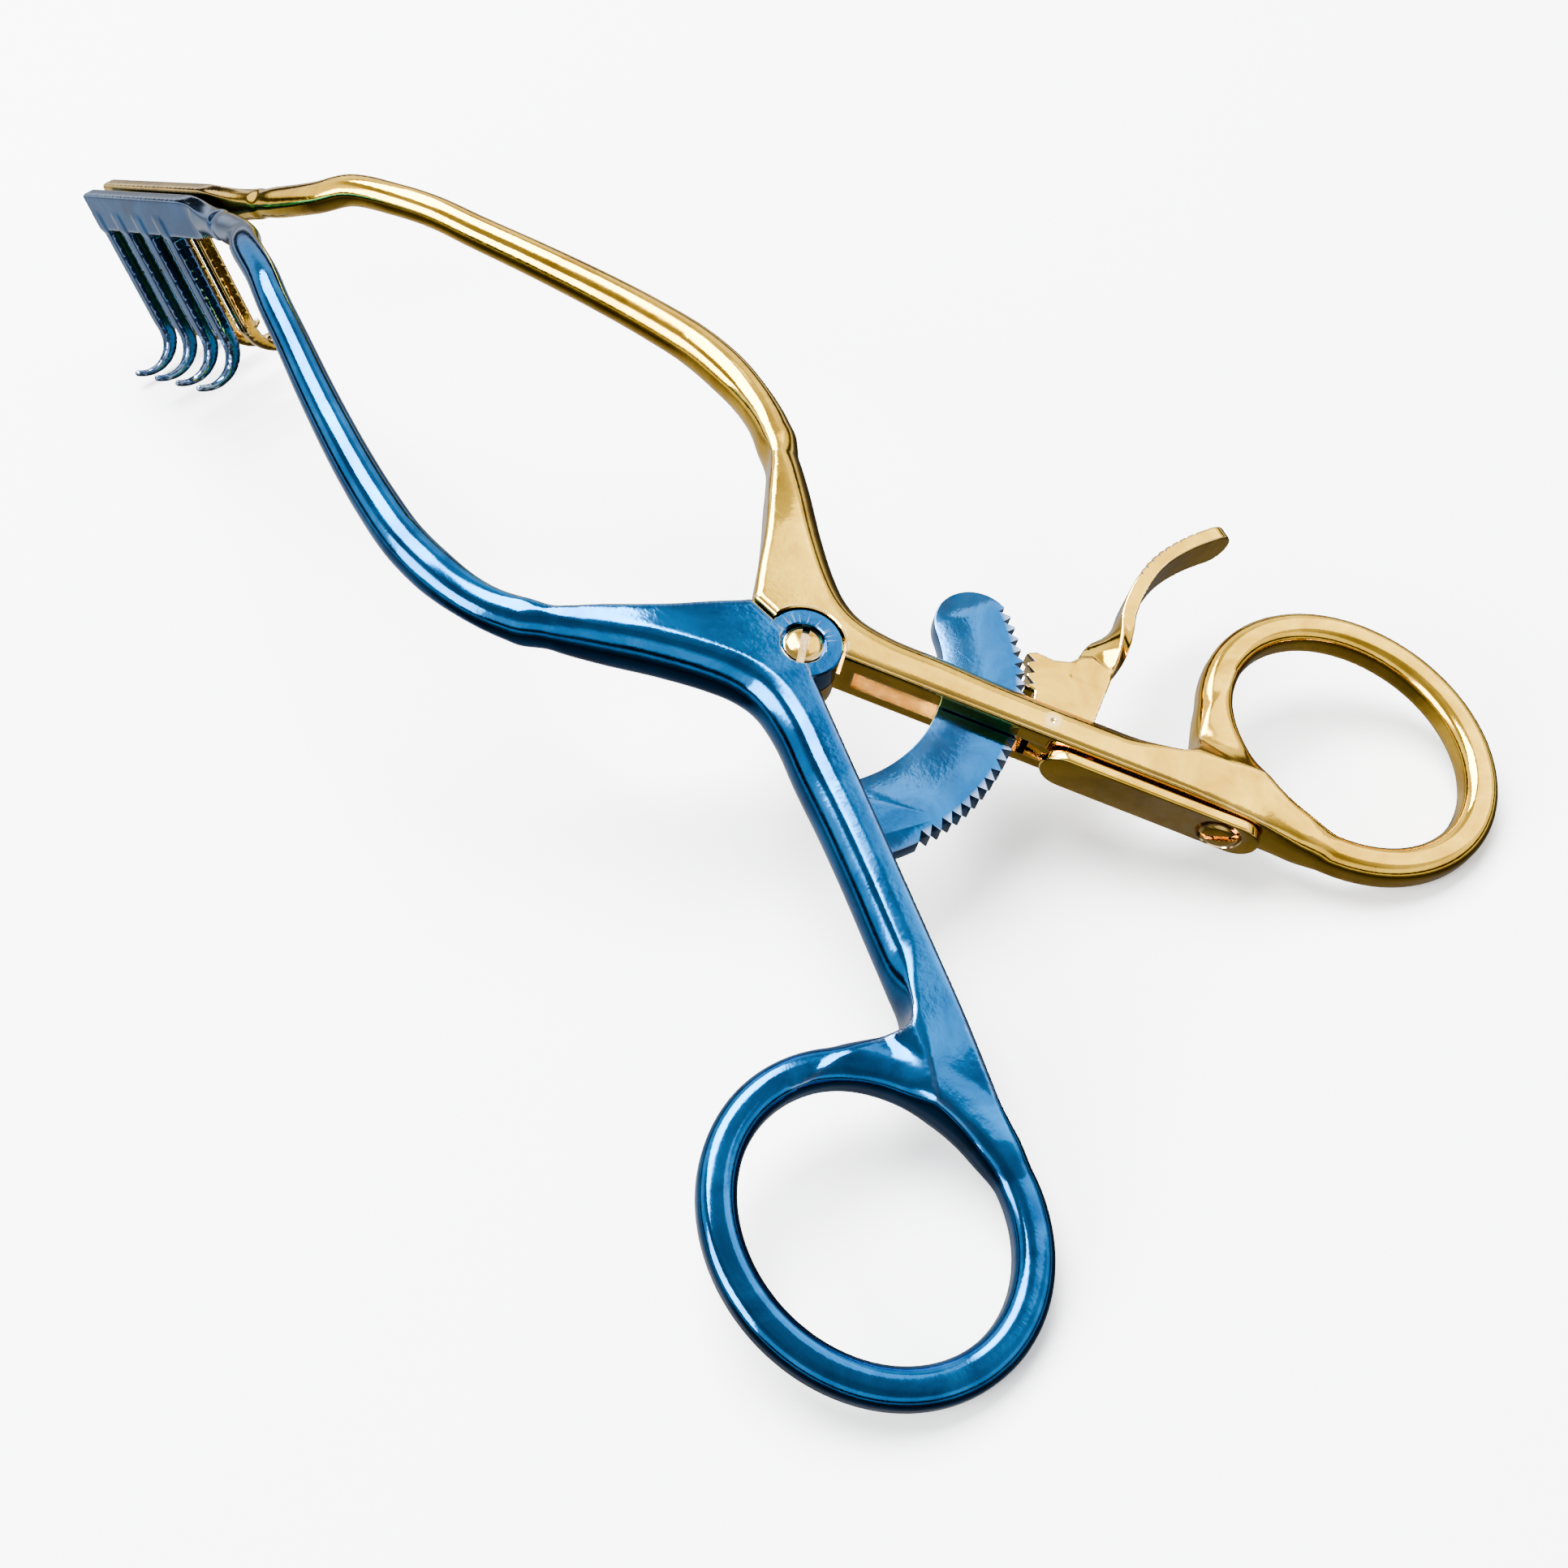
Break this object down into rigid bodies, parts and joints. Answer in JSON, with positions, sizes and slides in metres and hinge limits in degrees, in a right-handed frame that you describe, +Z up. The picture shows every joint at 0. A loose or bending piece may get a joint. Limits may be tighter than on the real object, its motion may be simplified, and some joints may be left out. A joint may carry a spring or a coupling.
{
  "type": "ratchet retractor",
  "caption": "Self-retaining ring-handled retractor: squeezing the rings spreads two toothed rakes, a ratchet holds them and a sprung thumb lever releases it.",
  "frame": {"origin": "centre of the footprint at the height of the table the tool lies on", "axes": "+Y along the tool from the finger rings to the rakes, +X to the gold arm's side, +Z up from the table"},
  "size_m": [0.1096, 0.2068, 0.0463],
  "materials": {
    "blue_coated_steel": "mirror polished steel with a blue plasma coating",
    "gold_coated_steel": "mirror polished steel with a pale gold plasma coating"
  },
  "bodies": {
    "left": {"left_arm": "blue_coated_steel", "ratchet_bar": "blue_coated_steel", "ratchet_pin_1": "blue_coated_steel", "ratchet_pin_2": "blue_coated_steel", "joint_screw": "gold_coated_steel"},
    "right": {"right_arm": "gold_coated_steel", "lever_pin": "gold_coated_steel", "leaf_spring": "gold_coated_steel", "spring_screw": "gold_coated_steel"},
    "lever": {"release_lever": "gold_coated_steel"}
  },
  "joints": [
    {"name": "jaw_pivot", "type": "hinge", "parent": "left", "child": "right", "pos_m": [0, -0.03972, 0.02086], "axis": [0, 0.2894, -0.9572], "range_deg": [0, 40.44]},
    {"name": "lever_release", "type": "hinge", "parent": "right", "child": "lever", "pos_m": [0.01354, -0.06328, 0.01374], "axis": [0, 0.2894, -0.9572], "range_deg": [-6.5, 3.5], "stiffness_Nm_per_rad": 0.3}
  ]
}
